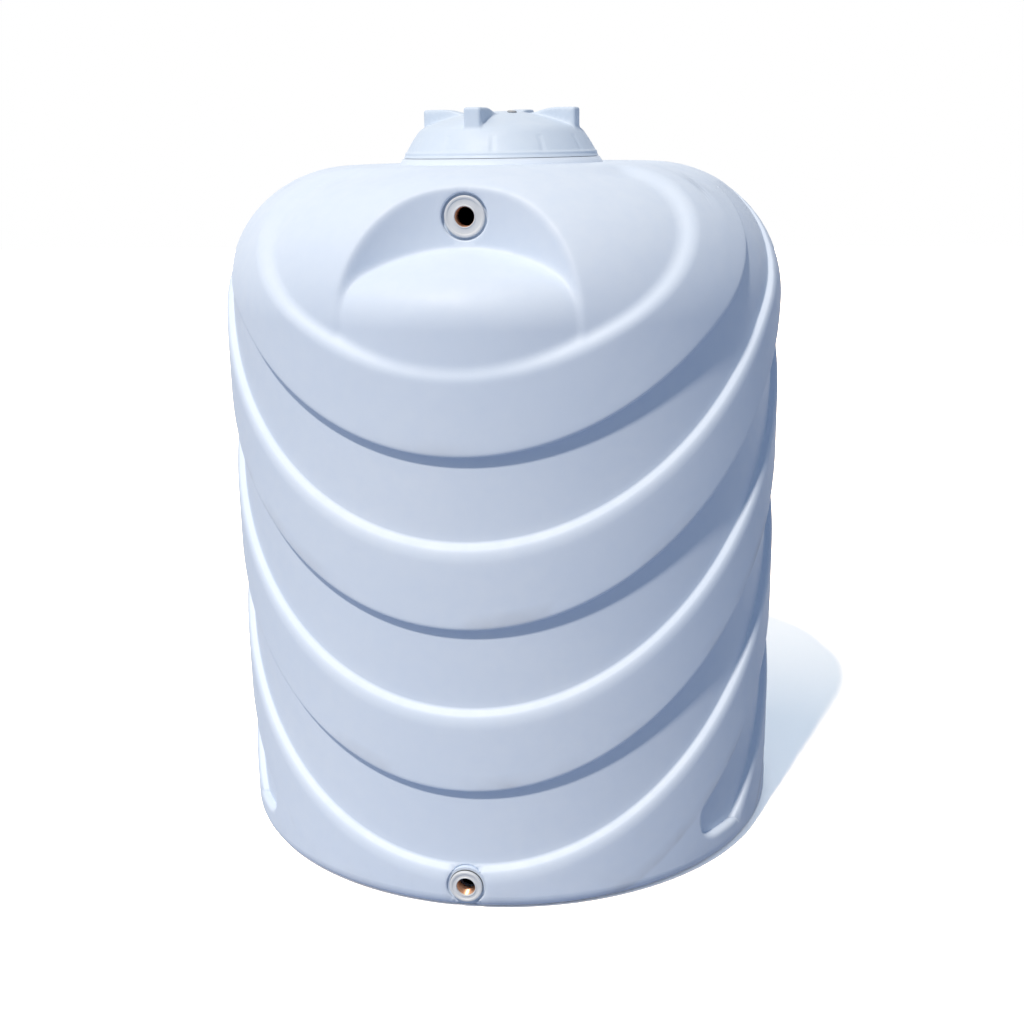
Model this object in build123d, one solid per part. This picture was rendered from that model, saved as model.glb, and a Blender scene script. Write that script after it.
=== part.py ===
from build123d import *
import math
import os

# Sizes in millimetres. The origin is the centre of the tank's base, +Z is up and the ports face -Y.

# Shell
tank_radius = 550.0
wall = 6.0
deck_height = 1322.0
shoulder_radius = 256.0
base_edge_radius = 30.0

# Raised bands, each between two parallel planes that rise from the front to the back
band_depth = 16.0
band_height = 140.0
band_pitch = 307.0
first_ridge_height = 992.0
band_tilt = 44.2
recess_fade_lift = 11.0

# Base ring, and the rounded ends of the recesses that run into it
base_ring_height = 60.0
recess_tip_radius = 40.0

# Front loop: the set-in part of the shoulder above the first ridge
loop_depth = 15.0
deck_disc_radius = 325.0

# Niche of the inlet, with the bulging pad under it
niche_radius = 294.0
niche_depth_at_axis = 407.0
pad_radius = 434.0
pad_offset = 110.0
pad_edge_radius = 121.0

# Neck of the manhole
neck_radius = 158.0
neck_wall = 8.0
neck_height = 50.0
plinth_base_radius = 200.0
plinth_top_radius = 193.0
plinth_height = 11.0

# Coarse thread of the neck and the lid
thread_lead = 16.0
neck_thread_turns = 1.25
lid_thread_turns = 1.0
thread_depth = 4.0
thread_root_width = 6.0
thread_crest_width = 3.0
thread_clearance = 1.5
thread_end_gap = 1.0

# Lid
lid_gap = 1.0
lid_wall = 4.5
lid_skirt_radius = 191.0
lid_rim_radius = 166.0
lid_skirt_height = 46.0
lid_crown_radius = 158.0
lid_crown_rise = 8.0
lid_dome_rise = 32.0
lid_edge_rounding = 4.0
ledge_inner_radius = 146.0
lug_count = 4
lug_turn = -11.0
lug_reach = 157.0
lug_flat_start = 105.0
lug_foot_start = 50.0
lug_width = 34.0
lug_height = 5.0
lug_edge_rounding = 3.0
flute_count = 12
flute_radius = 12.0
flute_depth = 2.0
gasket_thickness = 3.0
gasket_inset = 1.0

# Breather plug in the lid
vent_distance = 52.0
vent_head_radius = 9.0
vent_head_height = 3.0
vent_stem_radius = 5.0
vent_stem_length = 10.0
vent_turn = 34.0

# Port fittings
inlet_height = 1241.0
outlet_height = 48.0
inlet_seat_radius = 40.0
outlet_seat_radius = 36.0
seat_depth = 8.0
flange_radius = 32.5
flange_thickness = 6.0
flange_rounding = 1.5
port_gasket_thickness = 2.0
port_gasket_radius = 31.0
spud_radius = 22.0
spud_tail = 30.0
spud_lip = 4.0
port_bore_radius = 16.0
insert_radius = 19.0
insert_bore_radius = 15.2
insert_length = 28.0
washer_radius = 28.0
washer_thickness = 2.0
nut_across_flats = 54.0
nut_thickness = 14.0
fit_clearance = 0.2
hole_clearance = 0.5

# Worked out from the sizes above
band_slope = math.tan(math.radians(band_tilt))
shoulder_height = deck_height - shoulder_radius
niche_centre = niche_depth_at_axis + niche_radius
inlet_seat = niche_depth_at_axis - seat_depth
outlet_seat = tank_radius - seat_depth
neck_top = deck_height + neck_height
lid_bottom = deck_height + plinth_height + lid_gap
lid_rim_height = lid_bottom + lid_skirt_height
crown_height = lid_rim_height + lid_crown_rise
lid_top = crown_height + lid_dome_rise
dome_radius = (lid_crown_radius**2 + lid_dome_rise**2) / (2 * lid_dome_rise)
skirt_slope = (lid_skirt_radius - lid_rim_radius) / lid_skirt_height
collar_radius = neck_radius + thread_depth + thread_clearance
gasket_top = neck_top + gasket_thickness
lid_thread_start = lid_bottom + thread_end_gap + thread_root_width / 2
neck_thread_start = lid_thread_start + thread_lead / 2
margin = 60.0


def turned(outline):
    """Turn an outline about the tank's axis; its x is the radius and the turn starts at the back."""
    return revolve(Plane.YZ * outline, Axis.Z)


def dome_outline(radius, height, shoulder, base_edge, floor):
    """Half outline: flat base with a rounded edge, straight side, rounded shoulder, flat top."""
    side_foot = (radius, floor + base_edge)
    side_head = (radius, height - shoulder)
    deck_edge = (radius - shoulder, height)
    outline = [
        Line((0, floor), (radius - base_edge, floor)),
        RadiusArc((radius - base_edge, floor), side_foot, -base_edge),
        Line(side_foot, side_head),
        RadiusArc(side_head, deck_edge, -shoulder),
        Line(deck_edge, (0, height)),
        Line((0, height), (0, floor)),
    ]
    return make_face(outline)


def dome(radius, height, shoulder, base_edge, floor):
    """The solid that the half outline makes when it is turned."""
    return turned(dome_outline(radius, height, shoulder, base_edge, floor))


def band_plane(front_height, y):
    """Height at y of a tilted plane that meets the tank's front at front_height."""
    return front_height + band_slope * (y + tank_radius)


def slab_outline(low, high):
    """Slanted strip in the YZ plane, between the planes that start at low and high."""
    front = -tank_radius - margin
    back = tank_radius + margin
    corners = [
        (front, band_plane(low, front)),
        (back, band_plane(low, back)),
        (back, band_plane(high, back)),
        (front, band_plane(high, front)),
    ]
    return make_face(Polyline(*corners, close=True))


def recess_count():
    """Recesses that open above the base ring before the back of the tank is reached."""
    drop = band_plane(first_ridge_height - band_height, tank_radius) - base_ring_height
    return math.floor(drop / band_pitch)


def recess_outline(index, inset):
    """Outline in the YZ plane of one recess, with rounded ends where it runs into the base ring."""
    trim = inset * math.hypot(1, band_slope)
    high = first_ridge_height - band_height - index * band_pitch + trim
    low = first_ridge_height - (index + 1) * band_pitch - trim
    level = base_ring_height - inset
    depth = 4 * tank_radius
    below = Pos(0, level - depth / 2) * Rectangle(depth, depth)
    outline = slab_outline(low, high) - below
    corners = outline.vertices().filter_by(lambda v: abs(v.Y - level) < 0.01)
    corners = corners.filter_by(lambda v: abs(v.X) < tank_radius - band_depth)
    if corners:
        outline = fillet(corners, recess_tip_radius)
    return outline


def recess_outlines(inset):
    """Outlines in the YZ plane of all that is set in: all above the first ridge, and each recess below it."""
    trim = inset * math.hypot(1, band_slope)
    above = slab_outline(first_ridge_height - trim, first_ridge_height + 4 * tank_radius)
    return [above] + [recess_outline(index, inset) for index in range(recess_count())]


def slab_solid(outline):
    """Prism across the tank from an outline in the YZ plane."""
    return extrude(Plane.YZ * outline, tank_radius + margin, both=True)


def pad(inset):
    """Bulging pad under the niche: a small dome on an axis in front of the tank's own."""
    radius = pad_radius - inset
    foot = shoulder_height - 3 * pad_edge_radius
    top = shoulder_height + pad_edge_radius - inset
    rim = radius - pad_edge_radius + inset
    outline = [
        Line((0, foot), (radius, foot)),
        Line((radius, foot), (radius, shoulder_height)),
        RadiusArc((radius, shoulder_height), (rim, top), -(pad_edge_radius - inset)),
        Line((rim, top), (0, top)),
        Line((0, top), (0, foot)),
    ]
    return Pos(0, -pad_offset, 0) * turned(make_face(outline))


def loop_wedge(inset):
    """All that lies above the first ridge's plane, as a wedge across the tank."""
    plane_front = first_ridge_height - inset * math.hypot(1, band_slope)
    front = -tank_radius - margin
    back = tank_radius + margin
    top = band_plane(plane_front, back)
    corners = [(front, band_plane(plane_front, front)), (back, top), (front, top)]
    return slab_solid(make_face(Polyline(*corners, close=True)))


def loop_floor(inset):
    """What the front loop leaves: the sunk shoulder with the deck's disc, cut by the niche, and the pad."""
    sunk = dome_outline(
        tank_radius - loop_depth - inset,
        deck_height - loop_depth - inset,
        shoulder_radius - loop_depth - inset,
        base_edge_radius,
        0,
    )
    disc_foot = deck_height - 2 * loop_depth
    disc_reach = deck_disc_radius - inset + 2 * loop_depth
    disc = Polyline((0, disc_foot), (disc_reach, disc_foot), (0, disc_foot + disc_reach), close=True)
    height = deck_height - shoulder_height + 4 * margin
    middle = Pos(0, -niche_centre, shoulder_height - 2 * margin + height / 2)
    niche = middle * Rot(0, 0, 90) * Cylinder(niche_radius + inset, height)
    return turned(sunk + make_face(disc)) - niche + pad(inset)


def recess_skin(inset):
    """Ring from the recess floor outwards. It ends where the floor meets the shoulder and the recesses fade."""
    floor = dome_outline(
        tank_radius - band_depth - inset,
        deck_height + recess_fade_lift - inset,
        shoulder_radius - inset,
        base_edge_radius - inset,
        inset - margin,
    )
    reach = 4 * tank_radius
    width = tank_radius + margin
    skin = Rectangle(width, reach, align=(Align.MIN, Align.MIN)) - floor
    start = (tank_radius - shoulder_radius - band_depth / 2, shoulder_height + recess_fade_lift / 2)
    shift = math.hypot(band_depth, recess_fade_lift)
    end = (start[0] + reach * recess_fade_lift / shift, start[1] + reach * band_depth / shift)
    beyond = Polyline(start, end, (start[0] - reach, end[1]), (start[0] - reach, start[1]), close=True)
    return turned(skin - make_face(beyond))


def tank_form(inset):
    """The tank's whole form, as the outside of the shell or, inset by the wall, as its inside."""
    form = dome(
        tank_radius - inset,
        deck_height - inset,
        shoulder_radius - inset,
        base_edge_radius - inset,
        inset,
    )
    skin = recess_skin(inset)
    for outline in recess_outlines(inset):
        form = form - (skin & slab_solid(outline))
    return form - (loop_wedge(inset) - loop_floor(inset))


def neck_form(inset):
    """The neck on its low plinth, as the outside or, inset by the wall, as the inside."""
    foot = deck_height - wall / 2 - inset
    shelf = deck_height + plinth_height - inset
    outline = Polyline(
        (0, foot),
        (plinth_base_radius - inset, foot),
        (plinth_base_radius - inset, deck_height - inset),
        (plinth_top_radius - inset, shelf),
        (0, shelf),
        close=True,
    )
    plinth = turned(make_face(outline))
    if inset > 0:
        return plinth
    tube = Pos(0, 0, (foot + neck_top) / 2) * Cylinder(neck_radius, neck_top - foot)
    return plinth + tube


def seat_pocket(seat_radius, seat, height):
    """Round counterbore for a port's flange, open to the front of the tank."""
    depth = tank_radius + margin - seat
    return Pos(0, -seat - depth / 2, height) * Rot(90, 0, 0) * Cylinder(seat_radius, depth)


def make_tank():
    """The rotomoulded shell with its neck, seats and port holes."""
    ports = [(inlet_seat_radius, inlet_seat, inlet_height), (outlet_seat_radius, outlet_seat, outlet_height)]
    hollow = tank_form(wall) + neck_form(wall)
    shell = tank_form(0) + neck_form(0)
    for seat_radius, seat, height in ports:
        hollow = hollow - seat_pocket(seat_radius + wall, seat - wall, height)
        shell = shell - seat_pocket(seat_radius, seat, height)
    shell = shell - hollow
    bore_depth = neck_top - deck_height + 2 * wall
    shell = shell - Pos(0, 0, neck_top - bore_depth / 2 + 1) * Cylinder(neck_radius - neck_wall, bore_depth + 2)
    for seat_radius, seat, height in ports:
        hole = Rot(90, 0, 0) * Cylinder(spud_radius + hole_clearance, 4 * wall)
        shell = shell - Pos(0, -seat, height) * hole
    return shell + thread_ridge(neck_radius, neck_thread_start, neck_thread_turns, thread_depth)


def thread_ridge(radius, start, turns, depth):
    """One helical ridge on a cylinder, outward for a positive depth and inward for a negative one."""
    helix = Pos(0, 0, start) * Helix(pitch=thread_lead, height=thread_lead * turns, radius=radius)
    root = -math.copysign(thread_clearance / 2, depth)
    section = Polyline(
        (root, -thread_root_width / 2),
        (depth, -thread_crest_width / 2),
        (depth, thread_crest_width / 2),
        (root, thread_root_width / 2),
        close=True,
    )
    across = Plane(origin=helix @ 0, x_dir=(1, 0, 0), z_dir=helix % 0)
    return sweep(across * make_face(section), path=helix, is_frenet=True)


def lid_outline(inset):
    """Half outline of the lid: flared skirt, bevelled rim and low dome."""
    side = inset * math.hypot(1, skirt_slope)
    foot = lid_bottom - 2 * inset
    skirt_foot = (lid_skirt_radius - side + 2 * inset * skirt_slope, foot)
    rim = (lid_rim_radius - side, lid_rim_height)
    sphere = dome_radius - inset
    crown_reach = lid_crown_radius - inset
    crown = (crown_reach, lid_top - dome_radius + math.sqrt(sphere**2 - crown_reach**2))
    top = (0, lid_top - inset)
    outline = [
        Line((0, foot), skirt_foot),
        Line(skirt_foot, rim),
        Line(rim, crown),
        RadiusArc(crown, top, -sphere),
        Line(top, (0, foot)),
    ]
    return make_face(outline)


def lid_lugs(inset):
    """Raised radial lugs, flat on top and running down into the dome towards the middle."""
    foot = lid_rim_height
    top = lid_top + lug_height - inset
    outline = Polyline(
        (lug_foot_start + inset, foot),
        (lug_reach - inset, foot),
        (lug_reach - inset, top),
        (lug_flat_start, top),
        (lug_foot_start + inset, lid_top - 2 * lug_height),
        close=True,
    )
    lug = extrude(Plane.XZ * make_face(outline), lug_width / 2 - inset, both=True)
    if inset == 0:
        upper = lug.edges().filter_by(lambda e: e.center().Z > lid_top - lug_height)
        lug = fillet(upper, lug_edge_rounding)
    turns = [lug_turn - 90 + 360 * index / lug_count for index in range(lug_count)]
    return [Rot(0, 0, turn) * lug for turn in turns]


def flute():
    """One shallow grip flute along the slope of the skirt."""
    lean = math.degrees(math.atan(skirt_slope))
    length = lid_skirt_height - 2 * lid_crown_rise
    out = flute_radius - flute_depth
    middle = (lid_skirt_radius + lid_rim_radius) / 2
    place = Pos(middle, 0, lid_bottom + lid_skirt_height / 2) * Rot(0, -lean, 0) * Pos(out, 0, 0)
    return place * Cylinder(flute_radius, length)


def vent_plane():
    """Plane on the dome at the breather, square to the dome's surface."""
    turn = math.radians(vent_turn - 90)
    side = vent_distance / dome_radius
    rise = math.sqrt(1 - side**2)
    centre = lid_top - dome_radius
    direction = (side * math.cos(turn), side * math.sin(turn), rise)
    origin = (direction[0] * dome_radius, direction[1] * dome_radius, centre + rise * dome_radius)
    return Plane(origin=origin, z_dir=direction)


def make_lid():
    """Screw lid moulded as one shell with an inner threaded collar and a ledge over the gasket."""
    ledge = Polyline(
        (collar_radius, lid_bottom),
        (collar_radius + lid_wall, lid_bottom),
        (collar_radius + lid_wall, lid_top),
        (ledge_inner_radius, lid_top),
        (ledge_inner_radius, gasket_top),
        (collar_radius, gasket_top),
        close=True,
    )
    hollow = turned(lid_outline(lid_wall))
    for lug in lid_lugs(lid_wall):
        hollow = hollow + lug
    hollow = hollow - turned(make_face(ledge))
    rim_corners = lid_outline(0).vertices().filter_by(lambda v: v.X > lid_crown_radius - 1 and v.Y > lid_bottom + 1)
    lid = turned(fillet(rim_corners, lid_edge_rounding))
    for lug in lid_lugs(0):
        lid = lid + lug
    for index in range(flute_count):
        lid = lid - Rot(0, 0, lug_turn - 90 + 360 * (index + 0.5) / flute_count) * flute()
    lid = lid - hollow
    lid = lid + thread_ridge(collar_radius, lid_thread_start, lid_thread_turns, -thread_depth)
    hole = Cylinder(vent_stem_radius + fit_clearance, 4 * lid_wall)
    return lid - vent_plane() * hole


def make_vent_plug():
    """Push-in breather: a low round head on a stem."""
    head = Cylinder(vent_head_radius, vent_head_height, align=(Align.CENTER, Align.CENTER, Align.MIN))
    head = fillet(head.edges().sort_by(Axis.Z)[-1], vent_head_height / 2)
    stem = Pos(0, 0, -vent_stem_length) * Cylinder(
        vent_stem_radius, vent_stem_length, align=(Align.CENTER, Align.CENTER, Align.MIN)
    )
    return vent_plane() * (head + stem)


def ring(outer_radius, inner_radius, low, high):
    """Flat ring about the Z axis."""
    align = (Align.CENTER, Align.CENTER, Align.MIN)
    solid = Cylinder(outer_radius, high - low, align=align) - Cylinder(inner_radius, high - low, align=align)
    return Pos(0, 0, low) * solid


def make_port(seat, height):
    """Pieces of one port fitting. Before it is placed, its axis is Z and the seat is at zero."""
    flange_back = port_gasket_thickness
    flange_front = flange_back + flange_thickness
    tail = -wall - spud_tail
    insert_front = flange_front - spud_lip
    nut_front = -wall - washer_thickness
    flange = ring(flange_radius, port_bore_radius, flange_back, flange_front)
    flange = fillet(flange.edges().sort_by(Axis.Z)[-2:], flange_rounding)
    spud = flange + ring(spud_radius, port_bore_radius, tail, flange_back)
    spud = spud - ring(insert_radius + fit_clearance, 0.5 * port_bore_radius, tail, insert_front)
    clear_radius = spud_radius + fit_clearance
    hexagon = RegularPolygon(nut_across_flats / 2, 6, major_radius=False) - Circle(clear_radius)
    pieces = {
        "spud": spud,
        "insert": ring(insert_radius, insert_bore_radius, insert_front - insert_length, insert_front),
        "gasket": ring(port_gasket_radius, clear_radius, 0, port_gasket_thickness),
        "washer": ring(washer_radius, clear_radius, nut_front, -wall),
        "nut": Pos(0, 0, nut_front - nut_thickness) * extrude(hexagon, nut_thickness),
    }
    place = Plane(origin=(0, -seat, height), x_dir=(1, 0, 0), z_dir=(0, -1, 0))
    return {name: place * piece for name, piece in pieces.items()}


parts = {"tank_body": make_tank(), "lid": make_lid(), "vent_plug": make_vent_plug()}
gasket_outer = neck_radius - gasket_inset
gasket_inner = neck_radius - neck_wall + gasket_inset
parts["lid_gasket"] = ring(gasket_outer, gasket_inner, neck_top, gasket_top)
for port, seat, height in [("inlet", inlet_seat, inlet_height), ("outlet", outlet_seat, outlet_height)]:
    for name, piece in make_port(seat, height).items():
        parts[f"{port}_{name}"] = piece

os.makedirs("parts", exist_ok=True)
for name, piece in parts.items():
    export_step(piece, f"parts/{name}.step")
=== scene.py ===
import math

import bmesh
import bpy
import numpy as np
from mathutils import Euler, Matrix, Vector


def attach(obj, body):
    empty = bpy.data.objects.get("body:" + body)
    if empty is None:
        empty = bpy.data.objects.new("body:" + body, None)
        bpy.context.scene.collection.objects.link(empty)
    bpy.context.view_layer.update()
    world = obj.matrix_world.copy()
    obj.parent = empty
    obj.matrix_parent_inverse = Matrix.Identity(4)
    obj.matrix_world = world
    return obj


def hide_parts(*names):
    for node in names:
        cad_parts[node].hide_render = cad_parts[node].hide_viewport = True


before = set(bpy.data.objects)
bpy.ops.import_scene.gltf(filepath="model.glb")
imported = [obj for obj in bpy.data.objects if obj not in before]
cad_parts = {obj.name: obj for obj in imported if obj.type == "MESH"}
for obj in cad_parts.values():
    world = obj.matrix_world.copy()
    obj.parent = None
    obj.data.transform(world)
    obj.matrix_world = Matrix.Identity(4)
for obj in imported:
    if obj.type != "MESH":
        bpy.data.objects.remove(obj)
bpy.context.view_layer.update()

scene = bpy.context.scene
scene.view_settings.view_transform = "Standard"


# Studio
# The tank stands on a plain pale floor that fades to white, under a warm key lamp high in front, a weak
# wide lamp high on the left and an even bluish fill. It is looked at from slightly above.

camera_distance = 2.754
camera_height = 1.365
camera_azimuth = math.radians(9.13)
camera_yaw = math.radians(0.21)
camera_pitch = math.radians(15.34)
camera_roll = math.radians(0.9)
focal_in_frames = 1355 / 1024
sensor_width = 36.0

camera_data = bpy.data.cameras.new("studio_camera")
camera_data.sensor_width = sensor_width
camera_data.lens = focal_in_frames * sensor_width
camera = bpy.data.objects.new("studio_camera", camera_data)
scene.collection.objects.link(camera)
camera.location = (
    camera_distance * math.sin(camera_azimuth),
    -camera_distance * math.cos(camera_azimuth),
    camera_height,
)
aim = Euler((math.pi / 2 - camera_pitch, 0, camera_azimuth - camera_yaw)).to_matrix()
camera.rotation_euler = (aim @ Matrix.Rotation(-camera_roll, 3, "Z")).to_euler()
scene.camera = camera


class Value:
    """A socket in a node tree, so that an expression on sockets adds its Math nodes."""

    def __init__(self, shader, socket):
        self.shader = shader
        self.socket = socket

    def math(self, operation, *others):
        sockets = {0: self}
        for place, other in enumerate(others, 1):
            sockets[place] = other
        return self.shader.node("ShaderNodeMath", {"operation": operation}, sockets)

    def __add__(self, other):
        return self.math("ADD", other)

    def __sub__(self, other):
        return self.math("SUBTRACT", other)

    def __rsub__(self, other):
        return self.math("SUBTRACT", other).math("MULTIPLY", -1.0)

    def __mul__(self, other):
        return self.math("MULTIPLY", other)

    __radd__ = __add__
    __rmul__ = __mul__

    def clamped(self, low, high):
        """This value run from 0 at low to 1 at high, and held there beyond them."""
        return self.shader.node(
            "ShaderNodeMapRange",
            {"clamp": True},
            {"Value": self, "From Min": low, "From Max": high, "To Min": 0.0, "To Max": 1.0},
        )


class Shader:
    """A material's or the world's node tree, with one method that makes its nodes."""

    def __init__(self, owner):
        self.owner = owner
        self.owner.use_nodes = True
        self.tree = self.owner.node_tree
        self.tree.nodes.clear()

    def node(self, kind, settings=None, sockets=None, output=0):
        """Make a node, set it, fill its sockets with values or links, and give back one output."""
        made = self.tree.nodes.new(kind)
        for name, value in (settings or {}).items():
            setattr(made, name, value)
        for name, value in (sockets or {}).items():
            if isinstance(value, Value):
                self.tree.links.new(value.socket, made.inputs[name])
            else:
                made.inputs[name].default_value = value
        return Value(self, made.outputs[output]) if made.outputs else None

    def noise(self, place, scale, detail):
        return self.node("ShaderNodeTexNoise", {}, {"Vector": place, "Scale": scale, "Detail": detail})

    def mix(self, factor, first, second):
        return self.node(
            "ShaderNodeMix", {"data_type": "RGBA"}, {0: factor, 6: first, 7: second}, output=2
        )

    def ray(self, *kinds):
        """Whether a ray is of one of some kinds: 0 or 1."""
        found = self.node("ShaderNodeLightPath", output="Is %s Ray" % kinds[0])
        for kind in kinds[1:]:
            found = found.math("MAXIMUM", self.node("ShaderNodeLightPath", output="Is %s Ray" % kind))
        return found

    def finish(self, surface):
        """Join the surface to the tree's output, and give back the material or the world."""
        of_world = isinstance(self.owner, bpy.types.World)
        kind = "ShaderNodeOutputWorld" if of_world else "ShaderNodeOutputMaterial"
        self.node(kind, {}, {"Surface": surface})
        return self.owner


floor_size = 30.0
floor_bounce = (0.28, 0.33, 0.45, 1.0)
floor_mirrored = (0.80, 0.80, 0.80, 1.0)
floor_seen = (3.60, 3.10, 2.50, 1.0)

bpy.ops.object.select_all(action="DESELECT")
bpy.ops.mesh.primitive_plane_add(size=floor_size, location=(0, 0, 0))
floor = bpy.context.active_object
floor.name = "studio_floor"
shader = Shader(bpy.data.materials.new("floor_paper"))
bounced = shader.node("ShaderNodeBsdfDiffuse", {}, {"Color": floor_bounce})
lifted = shader.node("ShaderNodeBsdfDiffuse", {}, {"Color": floor_seen})
mirrored = shader.node("ShaderNodeBsdfDiffuse", {}, {"Color": floor_mirrored})
by_mirror = shader.ray("Glossy", "Transmission")
plain = shader.node("ShaderNodeMixShader", {}, {0: by_mirror, 1: bounced, 2: mirrored})
paper = shader.finish(shader.node("ShaderNodeMixShader", {}, {0: shader.ray("Camera"), 1: plain, 2: lifted}))
floor.data.materials.append(paper)

fill_colour = (0.52, 0.70, 1.0, 1.0)
fill_strength = 0.33
backdrop_colour = (1.0, 1.0, 1.0, 1.0)
backdrop_strength = 1.0

world = bpy.data.worlds.new("studio_world")
scene.world = world
shader = Shader(world)
fill = shader.node("ShaderNodeBackground", {}, {"Color": fill_colour, "Strength": fill_strength})
backdrop = shader.node("ShaderNodeBackground", {}, {"Color": backdrop_colour, "Strength": backdrop_strength})
seen = shader.ray("Camera", "Glossy", "Transmission")
shader.finish(shader.node("ShaderNodeMixShader", {}, {0: seen, 1: fill, 2: backdrop}))


def add_sun(name, strength, colour, width, place):
    """Sun lamp that shines from a place towards the tank's foot."""
    data = bpy.data.lights.new(name, "SUN")
    data.energy = strength
    data.color = colour
    data.angle = math.radians(width)
    sun = bpy.data.objects.new(name, data)
    scene.collection.objects.link(sun)
    sun.location = place
    sun.rotation_euler = (-Vector(place)).to_track_quat("-Z", "Y").to_euler()


add_sun("key_lamp", strength=2.82, colour=(1.0, 0.90, 0.77), width=4, place=(-0.98, -2.69, 4.10))
add_sun("side_lamp", strength=0.55, colour=(1.0, 0.95, 0.88), width=60, place=(-3.60, -1.31, 3.21))


# Tank shell
# One hollow shell of pale blue-grey polyethylene, rotomoulded in one piece with its bands, its niche
# and its neck. Its outside has the solid's sizes, with the mould's soft edges and a lower pad.

tank_radius = 0.550
deck_height = 1.322
shoulder_radius = 0.256
shoulder_height = deck_height - shoulder_radius
base_edge_radius = 0.030
base_rings = [0.001, 0.3]
band_slope = math.tan(math.radians(44.2))
band_height = 0.145
band_pitch = 0.307
first_ridge = 0.992
recess_total = 6
recess_depth = 0.016
recess_lift = 0.011
recess_floor = 0.060
recess_tip = 0.040
foot_room = 0.017
foot_room_fade = 0.010
foot_ledge = [(0, 0.012), (0, 0.007), (0.1, 0.003), (0.35, 0.0005), (0.7, 0.0)]
tip_fade = 0.012
recess_end_drop = 0.0397
loop_depth = 0.015
disc_radius = 0.325
disc_blend = 0.012
land_width = 0.17
land_start = 0.405
land_fade = 0.07
niche_radius = 0.294
niche_centre = 0.701
niche_blend = 0.009
pad_radius = 0.434
pad_offset = 0.110
pad_top = 1.2406
pad_sphere = 0.850
pad_edge_blend = 0.050
pad_foot_blend = 0.008
ridge_foot_blend = 0.008
ridge_blend = 0.010
plinth_radius = 0.200
wall = 0.006
tube_hole = 0.0225
inlet_seat = 0.399
inlet_height = 1.241
inlet_seat_radius = 0.040
outlet_seat = 0.542
outlet_height = 0.048
outlet_seat_radius = 0.036
seat_rim = 0.003
seat_rim_round = [(0.0012, 0.0006), (0.0, 0.0024)]
seat_search = 0.03
port_room = 0.045
front_only = -0.3
merge_distance = 0.00002
top_start = 0.940
top_start_behind = 1.330
top_limit_angle = 58
top_limit_span = 12
lowest_row = -1.045
seam_width = 0.03
front_reach = 60
middle_reach = 78
tip_spans = [(84, 91), (118, 127)]
crest_rise = 0.020
crest_share = 0.42
foot_rise = 0.003
foot_share = 0.18
root_rise = 0.004
root_share = 0.22
lip_rise = 0.014
lip_share = 0.50


def select_only(obj):
    """Deselect everything, then select one object and make it active."""
    bpy.ops.object.select_all(action="DESELECT")
    obj.select_set(True)
    bpy.context.view_layer.objects.active = obj


def dome_profile(radius, height):
    """Radii and heights up a dome's outline: straight side, rounded shoulder and flat top."""
    turn = np.linspace(0, math.pi / 2, 240)
    side = np.linspace(0, height - shoulder_radius, 60)[:-1]
    top = np.linspace(radius - shoulder_radius, 0, 60)[1:]
    bend = radius - shoulder_radius + shoulder_radius * np.cos(turn)
    rise = height - shoulder_radius + shoulder_radius * np.sin(turn)
    radii = np.concatenate([np.full(len(side), radius), bend, top])
    heights = np.concatenate([side, rise, np.full(len(top), height)])
    return radii, heights


def tilt(radius, height, cosine):
    """Height at the tank's front of the tilted plane that goes through a point."""
    return height + band_slope * (radius * cosine - tank_radius)


def on_profile(profile, cosine, wanted):
    """Points of an outline, at one angle, that lie on the wanted tilted planes."""
    radii, heights = profile
    tilts = tilt(radii, heights, cosine)
    count = int(np.argmax(tilts)) + 1
    places = np.interp(wanted, tilts[:count], np.arange(count))
    rows = np.arange(count)
    return np.interp(places, rows, radii[:count]), np.interp(places, rows, heights[:count])


def eased(value):
    """A value held from 0 to 1, with a soft start and end."""
    value = np.clip(value, 0, 1)
    return value * value * (3 - 2 * value)


def soft_max(first, second, size):
    """The larger of two distances, rounded over a size where they meet."""
    near = np.maximum(size - np.abs(first - second), 0) / size
    return np.maximum(first, second) + near * near * size / 4


def soft_min(first, second, size):
    """The smaller of two distances, rounded over a size where they meet."""
    return -soft_max(-first, -second, size)


def band_rows(step):
    """Rows up the bands: each row's tilted plane, and how far the row is set in, from 0 to 1."""
    ease = [(math.sin(turn), 1 - math.cos(turn)) for turn in np.linspace(0, math.pi / 2, 8)]
    rows = []
    level = lowest_row
    for index in reversed(range(recess_total)):
        low = first_ridge - (index + 1) * band_pitch
        high = first_ridge - band_height - index * band_pitch
        flat = np.linspace(level, low - crest_rise, int((low - level) / step) + 2)[:-1]
        rows += [(value, 0.0, index) for value in flat]
        for sine, bend in ease:
            rows.append((low - crest_rise * (1 - sine), crest_share * bend, index))
        for sine, bend in ease:
            rows.append((low + foot_rise * bend, 1 - foot_share * (1 - sine), index))
        flat = np.linspace(low + foot_rise, high - root_rise, int((high - low) / step) + 2)[1:-1]
        rows += [(value, 1.0, index) for value in flat]
        for sine, bend in ease[::2]:
            rows.append((high - root_rise * (1 - sine), 1 - root_share * bend, index))
        for sine, bend in ease:
            rows.append((high + lip_rise * bend, lip_share * (1 - sine), index))
        level = high + 1.5 * lip_rise
    seam = top_start - seam_width
    flat = np.linspace(level, seam, int((seam - level) / step) + 2)[:-1]
    rows += [(value, 0.0, 0) for value in flat]
    rows += [(value, 0.0, 0) for value in np.linspace(seam, top_start, 8)]
    return np.array(rows)


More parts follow.
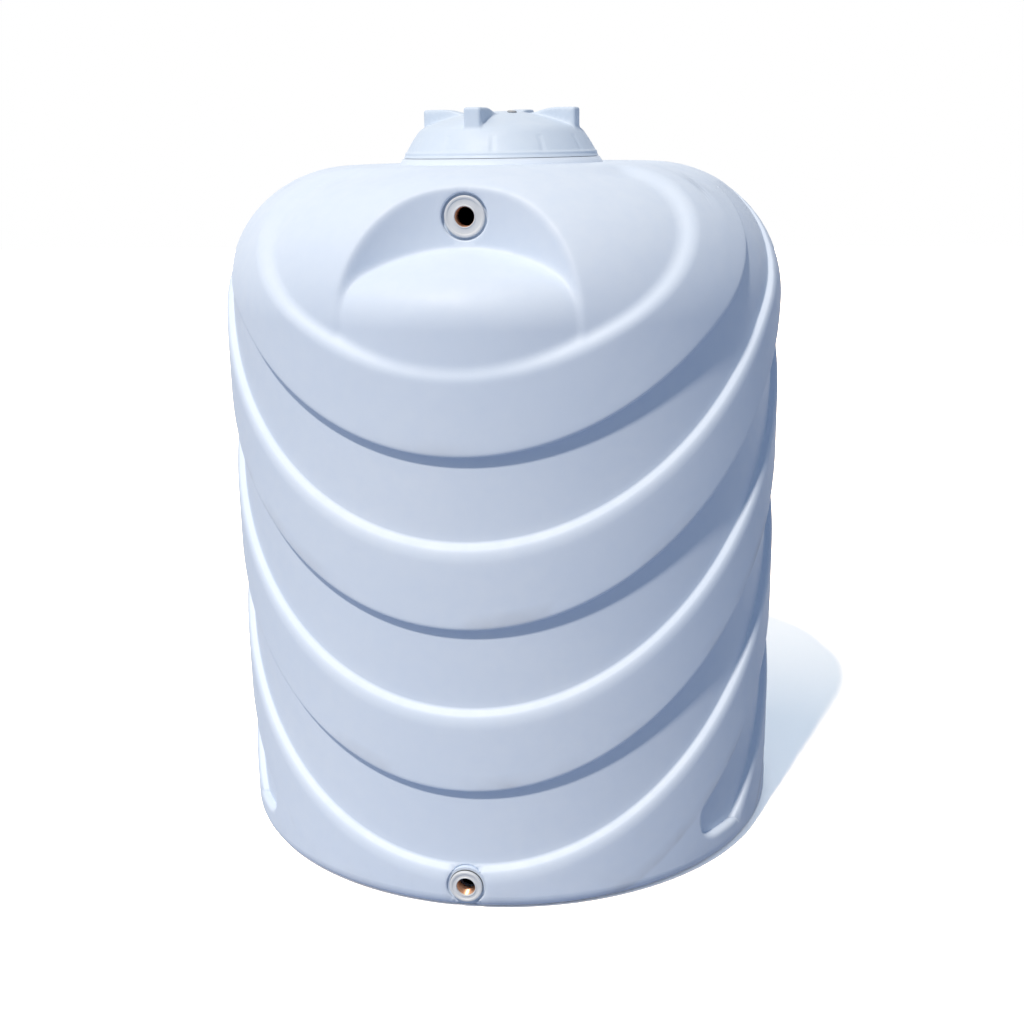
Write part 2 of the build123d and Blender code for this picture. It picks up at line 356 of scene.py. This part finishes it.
def shell_angles(fine, coarse):
    """Angles round the tank, closer together at its front and at the recesses' rounded tips."""
    half = [0.0]
    while half[-1] < 180 - coarse:
        angle = half[-1]
        if angle < front_reach or any(low < angle < high for low, high in tip_spans):
            half.append(angle + fine)
        elif angle < middle_reach:
            half.append(angle + (fine + coarse) / 2)
        else:
            half.append(angle + coarse)
    half = np.array(half)
    return np.radians(np.concatenate([-half[:0:-1], half, [180.0]]))


def top_limit(angle):
    """Tilted plane at which the bands end and the tank's top begins, at one angle."""
    arc = (top_start_behind - shoulder_height) / shoulder_radius
    radius = tank_radius - shoulder_radius + shoulder_radius * math.cos(arc)
    behind = tilt(radius, shoulder_height + shoulder_radius * math.sin(arc), math.cos(angle))
    share = eased((abs(math.degrees(angle)) - top_limit_angle) / top_limit_span)
    return (1 - share) * top_start + share * behind


def recess_limit(y, index):
    """Lowest height of one recess at one y, and how deep it still is there, up to its rounded tip."""
    high = first_ridge - band_height - index * band_pitch
    tip_middle = recess_floor + recess_tip * (1 + math.hypot(1, band_slope))
    tip = (tip_middle - high) / band_slope - tank_radius
    reach = np.clip((tip - y) / recess_tip, 0, 1)
    low = recess_floor + recess_tip * (1 - np.sqrt(1 - reach * reach))
    return low, eased((y - tip + recess_tip) / tip_fade)


def band_wall(step, angles):
    """Grid of points over the base, the wall and its bands, one column for each angle."""
    dome = dome_profile(tank_radius, deck_height)
    sunk_dome = dome_profile(tank_radius - recess_depth, deck_height + recess_lift)
    rows = band_rows(step)
    base = [(radius, 0.0) for radius in base_rings]
    for turn in np.linspace(0, math.pi / 2, 8):
        bend = base_edge_radius * np.array([math.sin(turn), 1 - math.cos(turn)])
        base.append((tank_radius - base_edge_radius + bend[0], bend[1]))
    columns = []
    for angle in angles:
        cosine = math.cos(angle)
        planes = np.minimum(rows[:, 0], top_limit(angle))
        outer_r, outer_z = on_profile(dome, cosine, planes)
        inner_r, inner_z = on_profile(sunk_dome, cosine, planes)
        faded = inner_z > deck_height - recess_end_drop
        inner_r = np.where(faded, outer_r, inner_r)
        inner_z = np.where(faded, outer_z, inner_z)
        y = -tank_radius * cosine
        lowest = np.full(len(rows), recess_floor)
        depth = rows[:, 1].copy()
        for index in range(recess_total):
            low, share = recess_limit(y, index)
            mine = rows[:, 2] == index
            crest = first_ridge - (index + 1) * band_pitch + band_slope * (tank_radius + y)
            lowest[mine] = low - foot_room * np.clip((crest - recess_floor) / foot_room_fade, 0, 1)
            depth[mine] *= share
        radii = outer_r + depth * (inner_r - outer_r)
        heights = outer_z + depth * (inner_z - outer_z)
        free = np.flatnonzero(heights > lowest)[0]
        foot_depth = tank_radius - radii[free]
        foot = lowest[free]
        radii[:free] = radii[free]
        heights[:free] = foot
        ledge = [(tank_radius - foot_depth * share, foot - drop) for share, drop in foot_ledge]
        side_heights = np.linspace(base_edge_radius, foot - foot_ledge[0][1], 4)[1:-1]
        side = [(tank_radius, height) for height in side_heights]
        column = base + side + ledge + list(zip(radii, heights))
        columns.append([(r * math.sin(angle), -r * cosine, z) for r, z in column])
    return np.array(columns)


def rounded_dome(radius, height, inner, edge):
    """Distance to a dome with a rounded shoulder, negative inside it."""
    return np.hypot(np.maximum(radius - inner, 0), np.maximum(height - shoulder_height, 0)) - edge


def top_distance(radius, height, angle):
    """Distance to the tank above its bands: the set-in loop, its niche and the pad under it."""
    x = radius * np.sin(angle)
    y = -radius * np.cos(angle)
    inner = tank_radius - shoulder_radius
    dome = rounded_dome(radius, height, inner, shoulder_radius)
    land = np.exp(-((x / land_width) ** 2)) * (1 - eased((-y - land_start) / land_fade))
    sunk = rounded_dome(radius, height, inner, shoulder_radius - loop_depth * (1 - land))
    disc = (radius - disc_radius + height - deck_height) / math.sqrt(2)
    disc = np.maximum(disc, deck_height - 2 * loop_depth - height)
    niche = niche_radius - np.hypot(x, y + niche_centre)
    reach = np.hypot(x, y + pad_offset)
    cap = np.hypot(reach, height - pad_top + pad_sphere) - pad_sphere
    pad = soft_max(cap, reach - pad_radius, pad_edge_blend)
    ridge = (tilt(radius, height, np.cos(angle)) - first_ridge) / math.hypot(1, band_slope)
    loop_floor = soft_max(soft_min(sunk, disc, disc_blend), niche, niche_blend)
    loop_floor = soft_min(loop_floor, pad, pad_foot_blend)
    return soft_max(dome, soft_min(ridge, loop_floor, ridge_foot_blend), ridge_blend)


def surface_along(distance, shape, nearest, furthest, stride, halvings):
    """How far along each ray the surface lies: stepped out to its first gap, then halved down."""
    low = np.full(shape, nearest)
    open_yet = np.zeros(shape, bool)
    for along in np.arange(nearest, furthest, stride):
        open_yet |= distance(np.full(shape, along)) > 0
        low = np.where(open_yet, low, along)
    high = low + stride
    for _ in range(halvings):
        middle = (low + high) / 2
        outside = distance(middle) > 0
        high = np.where(outside, middle, high)
        low = np.where(outside, low, middle)
    return low


def tank_top(count, wall_rim, angles):
    """Grid of points over the shoulder and the deck, found along rays that rise outwards at 45 degrees."""
    start = (wall_rim[:, 2] - np.hypot(wall_rim[:, 0], wall_rim[:, 1])) / math.sqrt(2)
    end = (deck_height - plinth_radius) / math.sqrt(2)
    share = np.linspace(0, 1, count)[:, None]
    across = start + share * (end - start)
    turn = np.broadcast_to(angles, across.shape)

    def distance(along):
        return top_distance((along - across) / math.sqrt(2), (along + across) / math.sqrt(2), turn)

    found = surface_along(distance, across.shape, nearest=0.70, furthest=1.45, stride=0.004, halvings=24)
    radii = (found - across) / math.sqrt(2)
    heights = (found + across) / math.sqrt(2)
    points = np.stack([radii * np.sin(turn), -radii * np.cos(turn), heights], axis=2)
    points[0] = wall_rim
    return points.transpose(1, 0, 2)


def grid_mesh(name, columns):
    """Mesh of a grid of points that closes on itself round the tank."""
    around, along = columns.shape[:2]
    number = np.arange(around * along).reshape(around, along)
    following = np.roll(number, -1, axis=0)
    corners = [number[:, :-1], following[:, :-1], following[:, 1:], number[:, 1:]]
    faces = np.stack(corners, axis=2).reshape(-1, 4)
    mesh = bpy.data.meshes.new(name)
    mesh.from_pydata(columns.reshape(-1, 3).tolist(), [], faces.tolist())
    piece = bpy.data.objects.new(name, mesh)
    scene.collection.objects.link(piece)
    select_only(piece)
    bpy.ops.object.mode_set(mode="EDIT")
    bpy.ops.mesh.select_all(action="SELECT")
    bpy.ops.mesh.remove_doubles(threshold=merge_distance)
    bpy.ops.object.mode_set(mode="OBJECT")
    return piece


def from_port(vertex, height):
    """Distance of a point at the tank's front from a port's axis, and none behind it."""
    return math.hypot(vertex.co.x, vertex.co.z - height) if vertex.co.y < front_only else math.inf


def open_seat(piece, height, radius, seat):
    """Cut a port's round seat in the front: a rounded rim, a side, a flat floor and the hole."""

    def set_radius(vertex, wanted):
        reach = wanted / math.hypot(vertex.co.x, vertex.co.z - height)
        vertex.co.x *= reach
        vertex.co.z = height + (vertex.co.z - height) * reach

    mesh = bmesh.new()
    mesh.from_mesh(piece.data)
    rim = radius + seat_rim
    inside = [v for v in mesh.verts if from_port(v, height) < rim]
    bmesh.ops.delete(mesh, geom=inside, context="VERTS")
    near = radius + seat_search
    loop = [e for e in mesh.edges if e.is_boundary and from_port(e.verts[0], height) < near]
    for vertex in {v for e in loop for v in e.verts}:
        set_radius(vertex, rim)
    steps = [(radius + beyond, depth) for beyond, depth in seat_rim_round]
    steps += [(radius, None), (tube_hole, None), (tube_hole, wall)]
    for size, depth in steps:
        made = bmesh.ops.extrude_edge_only(mesh, edges=loop)["geom"]
        loop = [item for item in made if isinstance(item, bmesh.types.BMEdge)]
        for vertex in {item for item in made if isinstance(item, bmesh.types.BMVert)}:
            set_radius(vertex, size)
            if depth is None:
                vertex.co.y = -seat
            elif size > tube_hole:
                vertex.co.y += depth
            else:
                vertex.co.y = -seat + depth
    mesh.to_mesh(piece.data)
    mesh.free()


def face_outward(piece):
    """Turn all of a piece's faces to look outwards, and leave it selected."""
    select_only(piece)
    bpy.ops.object.mode_set(mode="EDIT")
    bpy.ops.mesh.select_all(action="SELECT")
    bpy.ops.mesh.normals_make_consistent(inside=False)
    bpy.ops.object.mode_set(mode="OBJECT")


def finish_piece(piece, body, node, material, smooth_angle):
    """Smooth a piece, give it its material and seat it on its body in its node's place."""
    face_outward(piece)
    bpy.ops.object.shade_smooth_by_angle(angle=math.radians(smooth_angle))
    piece.data.materials.clear()
    piece.data.materials.append(material)
    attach(piece, body)
    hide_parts(node)


def kept_copy(name, node, keep):
    """Copy of a solid's mesh, merged, with only the faces whose corners all pass a test."""
    piece = bpy.data.objects.new(name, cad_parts[node].data.copy())
    scene.collection.objects.link(piece)
    mesh = bmesh.new()
    mesh.from_mesh(piece.data)
    bmesh.ops.remove_doubles(mesh, verts=mesh.verts, dist=merge_distance)
    lost = [face for face in mesh.faces if not keep(face)]
    bmesh.ops.delete(mesh, geom=lost, context="FACES")
    mesh.to_mesh(piece.data)
    mesh.free()
    return piece


def polyethylene(name, tint, dirt_and_lip_shade):
    """Satin moulded polyethylene: slow clouds of tint, fine orange peel, dark splashes at the foot, and a
    darker line along the lips that is partly dirt and partly painted shade.
    """
    shader = Shader(bpy.data.materials.new(name))
    place = shader.node("ShaderNodeTexCoord", output="Object")
    clouds = shader.noise(place, scale=2.6, detail=4.0)
    mottle = shader.noise(place, scale=38.0, detail=5.0)
    peel = shader.noise(place, scale=420.0, detail=3.0)
    ripple = shader.noise(place, scale=9.0, detail=2.0)
    paler = (tint[0] * 1.06, tint[1] * 1.04, tint[2] * 1.015, 1.0)
    darker = (tint[0] * 0.95, tint[1] * 0.965, tint[2] * 0.99, 1.0)
    pale = shader.mix(clouds.clamped(0.35, 0.68), tint, paler)
    colour = shader.mix(mottle.clamped(0.35, 0.75) * 0.35, pale, darker)
    if dirt_and_lip_shade:
        # The line along each lip is partly dirt and partly painted shade: it darkens the lip's rounded lower
        # edge and the band just above it, in patches, on the lower part of the tank.
        lip_dirt_and_shade_colour = (0.36, 0.37, 0.40, 1.0)
        splash_colour = (0.42, 0.43, 0.45, 1.0)
        y = shader.node("ShaderNodeSeparateXYZ", {}, {"Vector": place}, output="Y")
        z = shader.node("ShaderNodeSeparateXYZ", {}, {"Vector": place}, output="Z")
        lowest_lip = band_slope * tank_radius + first_ridge - band_height - 4 * band_pitch
        level = z - y * band_slope - lowest_lip
        above_lip = level.math("MODULO", band_pitch)
        line = above_lip.clamped(0.003, 0.012) * (1.0 - above_lip.clamped(0.014, 0.040))
        patches = shader.noise(place, scale=5.5, detail=6.0).clamped(0.47, 0.70)
        low_part = 1.0 - z.clamped(0.75, 0.95)
        # Painted shade and dirt along the lips' lower edges.
        lip_dirt_and_shade = line * patches * low_part * 0.42
        colour = shader.mix(lip_dirt_and_shade, colour, lip_dirt_and_shade_colour)
        spots = shader.noise(place, scale=14.0, detail=6.0).clamped(0.35, 0.8)
        splash = (1.0 - z.clamped(0.0, 0.075)) * spots * 0.22
        colour = shader.mix(splash, colour, splash_colour)
    roughness = mottle.clamped(0.2, 0.8) * 0.12 + clouds.clamped(0.3, 0.7) * 0.06 + 0.42
    slow = shader.node("ShaderNodeBump", {}, {"Strength": 0.25, "Distance": 0.004, "Height": ripple})
    fine = shader.node(
        "ShaderNodeBump", {}, {"Strength": 0.16, "Distance": 0.0004, "Height": peel, "Normal": slow}
    )
    surface = shader.node(
        "ShaderNodeBsdfPrincipled",
        {},
        {
            "Base Color": colour,
            "Roughness": roughness,
            "Normal": fine,
            "IOR": 1.5,
            "Specular IOR Level": 0.35,
        },
    )
    return shader.finish(surface)


shell_tint = (0.66, 0.755, 0.89, 1.0)
shell_plastic = polyethylene("shell_polyethylene", shell_tint, dirt_and_lip_shade=True)

angles = shell_angles(fine=0.45, coarse=2.6)
wall_points = band_wall(0.014, angles)
top_points = tank_top(150, wall_points[:, -1], angles)
shell_wall = grid_mesh("shell_wall", wall_points)
shell_top = grid_mesh("shell_top", top_points)
open_seat(shell_wall, outlet_height, outlet_seat_radius, outlet_seat)
open_seat(shell_top, inlet_height, inlet_seat_radius, inlet_seat)
finish_piece(shell_wall, "tank", "tank_body", shell_plastic, smooth_angle=50)
finish_piece(shell_top, "tank", "tank_body", shell_plastic, smooth_angle=50)

angles = shell_angles(fine=1.2, coarse=4.0)
wall_points = band_wall(0.04, angles)
top_points = tank_top(110, wall_points[:, -1], angles)
lining = grid_mesh("shell_lining", np.concatenate([wall_points, top_points[:, 1:]], axis=1))
face_outward(lining)
mesh = bmesh.new()
mesh.from_mesh(lining.data)
mesh.normal_update()
outward = sum(face.normal.x * face.calc_center_median().x for face in mesh.faces) > 0
shift = wall if outward else -wall
for vertex, normal in [(vertex, vertex.normal.copy()) for vertex in mesh.verts]:
    vertex.co -= normal * shift
near_port = [
    v for v in mesh.verts
    if min(from_port(v, outlet_height), from_port(v, inlet_height)) < port_room
]
bmesh.ops.delete(mesh, geom=near_port, context="VERTS")
mesh.to_mesh(lining.data)
mesh.free()
finish_piece(lining, "tank", "tank_body", shell_plastic, smooth_angle=50)
lining.data.flip_normals()


def on_neck(face):
    """Whether a face belongs to the neck or the low plinth under it."""
    margin = 0.0004
    radius = plinth_radius + margin
    foot = deck_height - wall - margin
    return all(math.hypot(v.co.x, v.co.y) < radius and v.co.z > foot for v in face.verts)


neck = kept_copy("shell_neck", "tank_body", on_neck)
finish_piece(neck, "tank", "tank_body", shell_plastic, smooth_angle=30)


# Lid gasket
# A flat ring of black rubber that lies on the neck's rim, where the lid's ledge presses it as the lid is
# screwed down. It lifts with the lid and does not turn.


def flat_plastic(name, tint, roughness, grain, depth):
    """Plain moulded plastic or rubber with a fine grain and a slight change of shade."""
    shader = Shader(bpy.data.materials.new(name))
    place = shader.node("ShaderNodeTexCoord", output="Object")
    shade = shader.noise(place, scale=30.0, detail=4.0)
    rough = shader.noise(place, scale=grain, detail=3.0)
    dark = (tint[0] * 0.86, tint[1] * 0.86, tint[2] * 0.87, 1.0)
    colour = shader.mix(shade.clamped(0.4, 0.8) * 0.6, tint, dark)
    bump = shader.node("ShaderNodeBump", {}, {"Strength": 0.3, "Distance": depth, "Height": rough})
    surface = shader.node(
        "ShaderNodeBsdfPrincipled",
        {},
        {"Base Color": colour, "Roughness": rough.clamped(0.2, 0.8) * 0.12 + roughness, "Normal": bump},
    )
    return shader.finish(surface)


def any_face(face):
    return True


rubber_tint = (0.028, 0.028, 0.030, 1.0)
rubber = flat_plastic("black_rubber", rubber_tint, roughness=0.62, grain=260.0, depth=0.0002)
lid_gasket = kept_copy("lid_gasket_ring", "lid_gasket", any_face)
finish_piece(lid_gasket, "lid_seal", "lid_gasket", rubber, smooth_angle=30)


# Lid
# A screw lid moulded in the same polyethylene: a flared skirt with grip flutes, a low dome and four
# raised lugs to turn it by. Its inner thread runs on the neck's.

lid_bottom = 1.334
skirt_foot = 0.191
skirt_head = 0.166
skirt_height = 0.046
lid_top = 1.420
crown_radius = 0.158
dome_rise = 0.032
sphere = (crown_radius**2 + dome_rise**2) / (2 * dome_rise)
lug_turn = math.radians(-11)
lug_reach = 0.157
lug_start = 0.030
lug_flat = 0.105
lug_half = 0.017
lug_top = 0.005
lug_slope = 0.2727
lug_ramp_blend = 0.004
lug_side_blend = 0.007
lug_edge_blend = 0.005
lug_start_blend = 0.004
lug_foot_blend = 0.005
flute_count = 12
flute_radius = 0.012
flute_depth = 0.0010
flute_half = 0.015
flute_blend = 0.002
crown_blend = 0.010
dome_blend = 0.006
bead_height = 0.009
bead_radius = 0.0014
bead_blend = 0.003
lid_skin = 0.0014
lid_middle = 1.290


def lid_distance(radius, height, angle):
    """Distance to the lid's outside, negative inside it."""
    slope = (skirt_foot - skirt_head) / skirt_height
    skirt = (radius - skirt_foot + (height - lid_bottom) * slope) / math.hypot(1, slope)
    crown = (radius - skirt_head + height - lid_bottom - skirt_height) / math.sqrt(2)
    dome = np.hypot(radius, height - lid_top + sphere) - sphere
    spacing = 2 * math.pi / flute_count
    offset = (angle - lug_turn) % spacing - spacing / 2
    flute = flute_radius - np.hypot(radius * np.sin(offset), skirt - flute_radius + flute_depth)
    flute = np.minimum(flute, flute_half - np.abs(height - lid_bottom - skirt_height / 2))
    bead = np.hypot(skirt, height - lid_bottom - bead_height) - bead_radius
    body = soft_max(soft_max(skirt, flute, flute_blend), crown, crown_blend)
    body = soft_min(soft_max(body, dome, dome_blend), bead, bead_blend)
    quarter = (angle - lug_turn + math.pi / 4) % (math.pi / 2) - math.pi / 4
    along = radius * np.cos(quarter)
    across = np.abs(radius * np.sin(quarter))
    ramp = (height - lid_top - lug_top - (along - lug_flat) * lug_slope) / math.hypot(1, lug_slope)
    top = soft_max(height - lid_top - lug_top, ramp, lug_ramp_blend)
    side = soft_max(across - lug_half, along - lug_reach, lug_side_blend)
    lug = soft_max(soft_max(side, top, lug_edge_blend), lug_start - along, lug_start_blend)
    return soft_min(body, lug, lug_foot_blend)


def lid_outside(around, along):
    """Grid of points over the lid, found along rays from a point on its axis."""
    angles = np.linspace(-math.pi, math.pi, around, endpoint=False)
    first = 0.0005
    last = math.atan2(skirt_foot, lid_bottom - lid_middle)
    lean = np.linspace(first, last, along)[:, None] + 0 * angles
    turn = np.broadcast_to(angles, lean.shape)

    def distance(reach):
        return lid_distance(reach * np.sin(lean), lid_middle + reach * np.cos(lean), turn)

    found = surface_along(distance, lean.shape, nearest=0.09, furthest=0.23, stride=0.002, halvings=20)
    radii = found * np.sin(lean)
    heights = np.maximum(lid_middle + found * np.cos(lean), lid_bottom)
    points = np.stack([radii * np.sin(turn), -radii * np.cos(turn), heights], axis=2)
    return points.transpose(1, 0, 2)


def inside_lid(face):
    """Whether a face belongs to the lid's inside: its wall, ledge, collar or thread."""
    middle = face.calc_center_median()
    angle = math.atan2(middle.x, -middle.y)
    return lid_distance(math.hypot(middle.x, middle.y), middle.z, angle) < -lid_skin


# The lid's tint is the shell's tint made a little darker: painted shade that takes its top down where the
# lamps fall strongest on it.
lid_shaded_tint = (0.60, 0.70, 0.83, 1.0)
lid_shaded_plastic = polyethylene("lid_shaded_polyethylene", lid_shaded_tint, dirt_and_lip_shade=False)
lid_cover = grid_mesh("lid_cover", lid_outside(around=600, along=150))
finish_piece(lid_cover, "lid", "lid", lid_shaded_plastic, smooth_angle=60)
lid_inside = kept_copy("lid_inside", "lid", inside_lid)
finish_piece(lid_inside, "lid", "lid", lid_shaded_plastic, smooth_angle=30)


# Breather plug
# A small plug moulded in grey plastic and pushed into a hole in the lid's dome, where its stem grips.
# It lets air in as the water is drawn off.

grey_tint = (0.33, 0.34, 0.36, 1.0)
grey_plastic = flat_plastic("grey_plastic", grey_tint, roughness=0.42, grain=300.0, depth=0.0001)
breather = kept_copy("breather", "vent_plug", any_face)
finish_piece(breather, "lid", "vent_plug", grey_plastic, smooth_angle=30)


# Port fittings
# Each port is a white plastic flange with a threaded tube, clamped through the wall by a back nut on
# a washer, with a rubber ring under the flange and a brass bush moulded into the tube.

inlet_rim = 0.0355
outlet_rim = 0.0305
tube_bore = 0.0192
turn_steps = 96
bush_edge = 0.0004
white_tint = (0.70, 0.73, 0.76, 1.0)
white_plastic = flat_plastic("white_plastic", white_tint, roughness=0.30, grain=350.0, depth=0.0001)


def turned_piece(name, outline):
    """Piece turned about a port's axis from an outline of radii and distances out from the seat."""
    mesh = bpy.data.meshes.new(name)
    count = len(outline)
    edges = [(i, (i + 1) % count) for i in range(count)]
    mesh.from_pydata([(r, 0, z) for r, z in outline], edges, [])
    piece = bpy.data.objects.new(name, mesh)
    scene.collection.objects.link(piece)
    select_only(piece)
    turn = piece.modifiers.new("turn", "SCREW")
    turn.steps = turn_steps
    turn.render_steps = turn_steps
    turn.use_merge_vertices = True
    bpy.ops.object.modifier_apply(modifier="turn")
    bpy.ops.object.mode_set(mode="EDIT")
    bpy.ops.mesh.select_all(action="SELECT")
    bpy.ops.transform.rotate(value=-math.pi / 2, orient_axis="X", center_override=(0, 0, 0))
    bpy.ops.object.mode_set(mode="OBJECT")
    return piece


def bush_outline(front, length, outer, inner, pitch):
    """Outline of a brass bush with the rings of its pipe thread inside."""
    lead = 0.0014
    thread_depth = 0.0011
    plain_end = 0.002
    outline = [(outer, front - bush_edge), (outer - bush_edge, front), (inner + lead, front)]
    level = front - lead
    while level > front - length + plain_end:
        outline += [(inner, level), (inner + thread_depth, level - pitch / 2)]
        level -= pitch
    return outline + [(inner + 0.001, front - length), (outer, front - length)]


def flange_outline(rim, hole, tail, tube):
    """Outline of a flange with a raised ring at its rim and at its hole, and its threaded tube."""
    inner_ring = [(0.0, 0.0040), (0.0, 0.0073), (0.0003, 0.0078), (0.0008, 0.0080), (0.0016, 0.0080),
                  (0.0020, 0.0077), (0.0024, 0.0071), (0.0030, 0.0069)]
    outer_ring = [(0.0063, 0.0069), (0.0057, 0.0071), (0.0053, 0.0077), (0.0048, 0.0080), (0.0020, 0.0080),
                  (0.0011, 0.0078), (0.0004, 0.0072), (0.0, 0.0062), (0.0, 0.0026), (0.0004, 0.0020)]
    outline = [(hole + across, along) for across, along in inner_ring]
    outline += [(rim - across, along) for across, along in outer_ring]
    return outline + [(tube, 0.0020), (tube, -tail), (tube_bore, -tail), (tube_bore, 0.0040)]


bright_brass = (0.56, 0.31, 0.19, 1.0)
dark_brass = (0.20, 0.09, 0.065, 1.0)
shader = Shader(bpy.data.materials.new("turned_brass"))
place = shader.node("ShaderNodeTexCoord", output="Object")
tarnish = shader.noise(place, scale=70.0, detail=6.0)
lines = shader.noise(place, scale=900.0, detail=2.0)
brass_colour = shader.mix(tarnish.clamped(0.35, 0.75), bright_brass, dark_brass)
brass_roughness = tarnish.clamped(0.3, 0.8) * 0.25 + 0.28
brass_bump = shader.node("ShaderNodeBump", {}, {"Strength": 0.2, "Distance": 0.0001, "Height": lines})
brass = shader.finish(shader.node(
    "ShaderNodeBsdfPrincipled",
    {},
    {"Base Color": brass_colour, "Metallic": 1.0, "Roughness": brass_roughness, "Normal": brass_bump},
))

for port, seat, height, rim in [
    ("inlet", inlet_seat, inlet_height, inlet_rim),
    ("outlet", outlet_seat, outlet_height, outlet_rim),
]:
    flange = flange_outline(rim, hole=0.0174, tail=0.0360, tube=0.0220)
    spud = turned_piece(port + "_flange", flange)
    sleeve = bush_outline(front=0.004, length=0.028, outer=0.019, inner=0.0162, pitch=0.0023)
    bush = turned_piece(port + "_bush", sleeve)
    for piece in [spud, bush]:
        for vertex in piece.data.vertices:
            vertex.co += Vector((0, -seat, height))
    finish_piece(spud, "tank", port + "_spud", white_plastic, smooth_angle=35)
    finish_piece(bush, "tank", port + "_insert", brass, smooth_angle=35)
    for name, part, slot, material in [
        ("seal", "gasket", "seal_rubber", rubber),
        ("slip_washer", "washer", "fitting_plastic", white_plastic),
        ("back_nut", "nut", "fitting_plastic", white_plastic),
    ]:
        piece = kept_copy(port + "_" + name, port + "_" + part, any_face)
        finish_piece(piece, "tank", port + "_" + part, material, smooth_angle=30)
